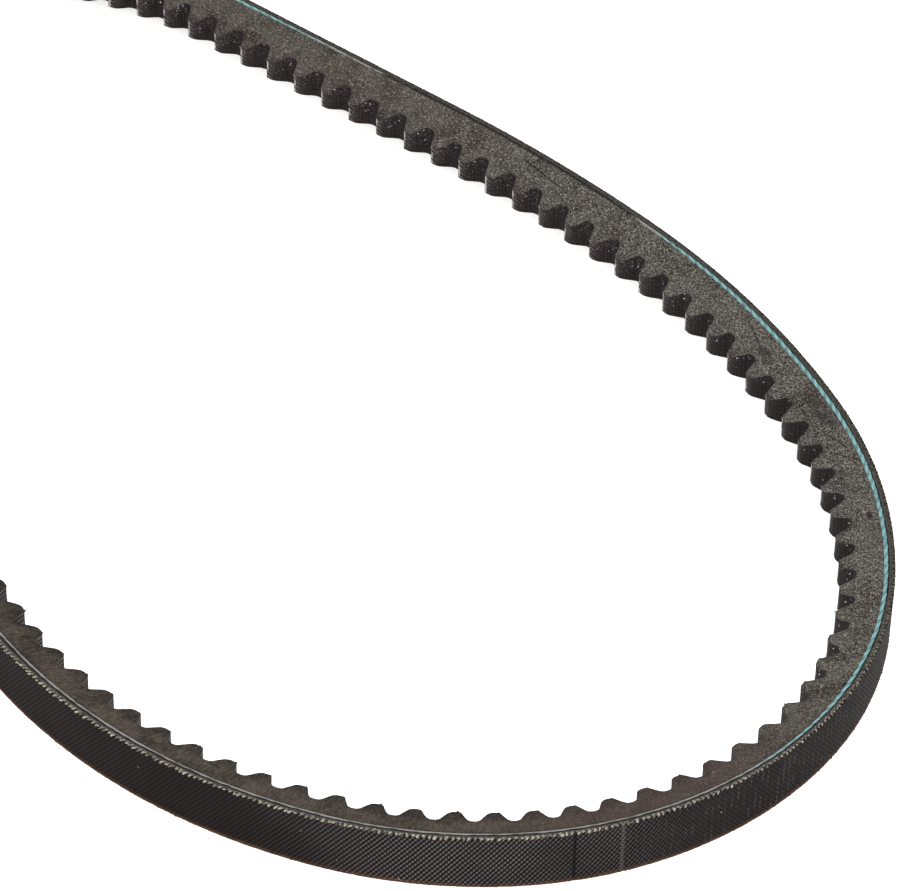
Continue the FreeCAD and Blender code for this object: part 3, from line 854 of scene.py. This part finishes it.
# away = sqrt(r^2 - (shown width / 2)^2); centre depth = shown depth - away * sin(lean), height =
# upper flank - away / cos(lean); the other turns climb a little less than one pitch in each length of
# the belt, so that the highest stays below the cut turn
def tensileCord():
    lean = radians(belt["grooveAngle"] / 2)
    lowest = lowerFlank(belt["cordDepth"]) + cord["radius"] / cos(lean) + cord["cover"]
    pitch = (belt["width"] - 2 * lowest) / (cord["turns"] - 1)
    material = dippedCord("dippedCord")
    # the cut turn: centre stands off the flank plane so that the flat cut has the width wanted
    along = np.arange(0, belt["length"], cord["cutStep"])
    wanted = np.interp(along, *np.array(cordShows).T)
    away = np.sqrt(np.clip(cord["radius"] ** 2 - (wanted / 2) ** 2, 0, None))
    away = away + np.where(wanted <= 0.001, cord["sunk"], 0.0)
    reach = cord["smooth"] // 2
    kernel = np.ones(cord["smooth"]) / cord["smooth"]
    away = np.convolve(np.concatenate([away[-reach:], away, away[:reach]]), kernel, "valid")
    deep = np.interp(along, *cordShowsAt.T) - away * sin(lean)
    height = upperFlank(deep) - away / cos(lean)
    cut = cordTube("tensile_cord_cut_turn", along, deep, height, cord["cutAround"], wanted)
    # the turns below it, one helix
    steps = np.arange(0, belt["length"] * (cord["turns"] - 1), cord["woundStep"])
    climb = lowest + pitch * steps / belt["length"] * (cord["turns"] - cord["topGap"]) / (cord["turns"] - 1)
    level = np.full(len(steps), belt["cordDepth"])
    hidden = np.zeros(len(steps))
    wound = cordTube("tensile_cord_wound_turns", steps, level, climb, cord["woundAround"], hidden)
    for piece in (cut, wound):
        piece.data.materials.append(material)
        claim(piece, "tensile_cord")


yarnSizes = {
    "step": 0.80, "seed": 5, "scatter": 0.16, "sunk": 0.03,
    "rows": [  # name, depth, upper (1) or lower (-1) edge, half sizes, share of steps with an end
        ("yarn_ends_outer_ply", 0.20, 1, (0.34, 0.19, 0.15), 1.0),
        ("yarn_ends_inner_ply", 0.62, 1, (0.24, 0.12, 0.08), 0.75),
        ("yarn_ends_lower_edge", 0.20, -1, (0.36, 0.26, 0.16), 1.0),
    ],
}


# nubs at even steps with a little scatter, long axis slanted to the belt's run, half sunk in the flank:
# point = centre + nub * size, turned by the three axes
def yarnRow(name, middleDepth, side, size, share, material):
    random = np.random.default_rng(yarnSizes["seed"] + int(middleDepth * 100) + side)
    count = int(belt["length"] / yarnSizes["step"])
    keep = random.uniform(size=count) < share
    scatter = random.uniform(-yarnSizes["scatter"], yarnSizes["scatter"], count)
    along = (np.arange(count) * belt["length"] / count + scatter)[keep]
    depth = middleDepth + random.uniform(-0.05, 0.07, len(along))
    height = upperFlank(depth) if side > 0 else lowerFlank(depth)
    x, y, heading = onLoop(loopTable, along, depth)
    ahead = np.stack([np.cos(heading), np.sin(heading), 0 * heading], -1)
    inward = np.stack([-np.sin(heading), np.cos(heading), 0 * heading], -1)
    slant = random.uniform(0.2, 0.9, len(along))[:, None]
    long = ahead * np.cos(slant) + inward * np.sin(slant)
    short = -ahead * np.sin(slant) + inward * np.cos(slant)
    upward = np.repeat([[0.0, 0.0, 1.0]], len(along), 0)
    sizes = np.array(size) * random.uniform(0.65, 1.15, (len(along), 3))
    centres = np.stack([x, y, height + floorHeight - side * yarnSizes["sunk"]], -1)
    if side < 0:
        centres[:, 2] = np.maximum(centres[:, 2], floorHeight + sizes[:, 2])
    place = np.stack([along, random.uniform(size=len(along)), height], -1)
    points, faces = nubShape()
    axes = np.stack([long, short, upward], 1)
    piece = scatteredPiece(name, points, faces, centres, axes, sizes, place)
    piece.data.materials.append(material)
    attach(piece, "root")


def yarnRows():
    upper = yarnEnds("cutYarn", yarnFinish["nearTone"], yarnFinish["farTone"])
    lower = yarnEnds("lowerYarn", yarnFinish["lowNearTone"], yarnFinish["lowFarTone"])
    for name, middleDepth, side, size, share in yarnSizes["rows"]:
        yarnRow(name, middleDepth, side, size, share, upper if side > 0 else lower)


# metres and degrees; the lens and the sensor's width are in millimetres
camera = {"place": (0.36650, -0.39260, 0.45895), "azimuth": 38.889, "elevation": 41.263, "roll": -1.139,
          "lens": 179.11, "sensor": 36.0, "clip": (0.01, 20.0)}


def setCamera():
    data = bpy.data.cameras.new("viewCamera")
    data.sensor_width, data.lens = camera["sensor"], camera["lens"]
    data.clip_start, data.clip_end = camera["clip"]
    eye = bpy.data.objects.new("viewCamera", data)
    swing = Matrix.Rotation(radians(camera["azimuth"]), 4, "Z")
    tilt = Matrix.Rotation(radians(90 - camera["elevation"]), 4, "X")
    roll = Matrix.Rotation(radians(-camera["roll"]), 4, "Z")
    eye.matrix_world = Matrix.Translation(camera["place"]) @ swing @ tilt @ roll
    bpy.context.scene.collection.objects.link(eye)
    bpy.context.scene.camera = eye


lamps = [{"name": "overhead", "place": (0.10, 0.25, 0.9), "size": 0.9, "power": 3.0},
         {"name": "frontLeft", "place": (-0.35, -0.75, 0.55), "size": 0.5, "power": 1.6},
         {"name": "rightSide", "place": (0.9, 0.1, 0.5), "size": 0.5, "power": 1.2}]
studio = {"skyColour": (1.0, 1.0, 1.0, 1.0), "skyStrength": 0.85, "floorHalf": 3.0, "floorGlow": 0.7,
          "floorDark": (0.93, 0.93, 0.93), "floorLight": (0.95, 0.95, 0.95)}


def setLights():
    bpy.context.scene.view_settings.view_transform = "Standard"
    for lamp in lamps:
        data = bpy.data.lights.new(lamp["name"], "AREA")
        data.size, data.energy = lamp["size"], lamp["power"]
        light = bpy.data.objects.new(lamp["name"], data)
        light.location = lamp["place"]
        light.rotation_euler = (-Vector(lamp["place"])).to_track_quat("-Z", "Y").to_euler()
        bpy.context.scene.collection.objects.link(light)
    world = bpy.data.worlds.new("studio")
    world.use_nodes = True
    sky = world.node_tree.nodes["Background"]
    sky.inputs[0].default_value = studio["skyColour"]
    sky.inputs[1].default_value = studio["skyStrength"]
    bpy.context.scene.world = world


# flat sheet much larger than the belt; height is the belt's lowest point
def setFloor():
    half, z = studio["floorHalf"], float(lowCorner[2])
    corners = [(-half, -half, z), (half, -half, z), (half, half, z), (-half, half, z)]
    mesh = bpy.data.meshes.new("floor")
    mesh.from_pydata(corners, [], [(0, 1, 2, 3)])
    floor = bpy.data.objects.new("floor", mesh)
    bpy.context.scene.collection.objects.link(floor)
    s = Shader("paleFloor")
    tone = s.mix(s.noise(s.objectPlace(), 4.0), studio["floorDark"], studio["floorLight"])
    paper = s.finish(tone, 0.8, Specular_IOR_Level=0.2, Emission_Color=studio["skyColour"],
                     Emission_Strength=studio["floorGlow"])
    floor.data.materials.append(paper)


setCamera()
setLights()
setFloor()
print("camera, lights and floor set")
layers()
print("layers made")
coggedBody()
print("cogs made")
tensileCord()
print("cord made")
yarnRows()
print("yarn ends made")

bpy.context.view_layer.update()
